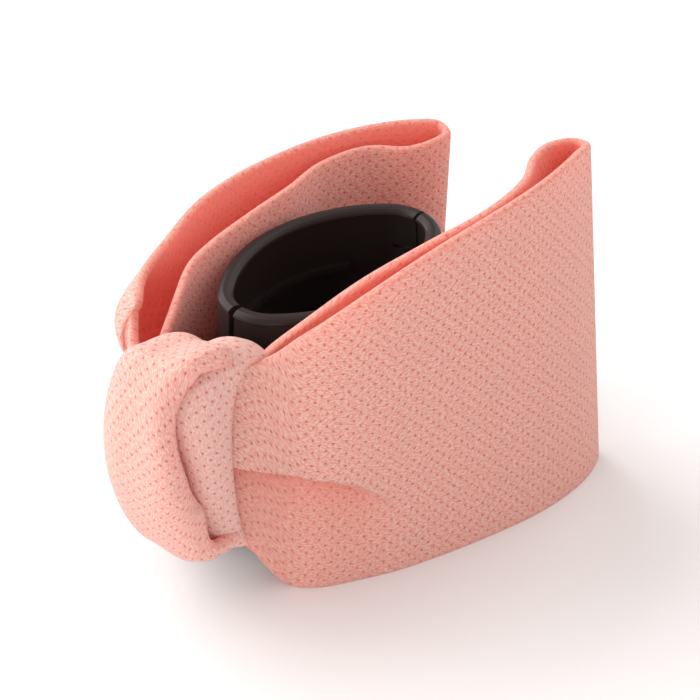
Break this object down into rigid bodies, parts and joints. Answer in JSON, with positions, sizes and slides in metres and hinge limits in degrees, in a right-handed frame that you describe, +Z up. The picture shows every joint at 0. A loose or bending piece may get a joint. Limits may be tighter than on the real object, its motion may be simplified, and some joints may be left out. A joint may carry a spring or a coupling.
{
  "type": "knotted bow hair claw",
  "caption": "knotted fabric bow standing on its tape edges, worn on a small sprung hair claw that opens from thumb tabs behind the knot",
  "frame": {"origin": "under the middle of the bow, on the surface that the loops' lower edges stand on", "axes": "+Z up along the height of the tape, -Y toward the knot, +Y toward the loop ends, +X toward the right loop"},
  "size_m": [0.045, 0.089, 0.0605],
  "materials": {
    "bow_fabric": "soft salmon-pink textured knit, matte",
    "claw_plastic": "gloss black moulded ABS",
    "steel_pin": "drawn steel wire",
    "spring_wire": "blued spring wire",
    "felt": "pressed felt, matte",
    "thread": "polyester sewing thread",
    "glue": "hot-melt glue, satin"
  },
  "bodies": {
    "bow_core": {"hinge_pin": "steel_pin", "spring_coil": "spring_wire", "hinge_bracket": "claw_plastic", "felt_pad": "felt", "knot_waist": "bow_fabric", "knot_wrap": "bow_fabric", "knot_tongue": "bow_fabric", "knot_stitches": "thread", "left_gather": "bow_fabric", "right_gather": "bow_fabric"},
    "left_side": {"left_jaw": "claw_plastic", "left_spring_leg": "spring_wire", "left_glue_pad": "glue", "left_loop": "bow_fabric"},
    "right_side": {"right_jaw": "claw_plastic", "right_spring_leg": "spring_wire", "right_glue_pad": "glue", "right_loop": "bow_fabric"}
  },
  "joints": [
    {"name": "left_jaw_hinge", "type": "hinge", "parent": "bow_core", "child": "left_side", "pos_m": [0, -0.021, 0], "axis": [0, 0, 1], "range_deg": [0, 18], "stiffness_Nm_per_rad": 0.08, "springref_deg": -20.05},
    {"name": "right_jaw_hinge", "type": "hinge", "parent": "bow_core", "child": "right_side", "pos_m": [0, -0.021, 0], "axis": [0, 0, 1], "range_deg": [-18, 0], "stiffness_Nm_per_rad": 0.08, "springref_deg": 20.05}
  ],
  "couplings": [
    {"joint": "right_jaw_hinge", "follows": "left_jaw_hinge", "ratio": -1}
  ]
}
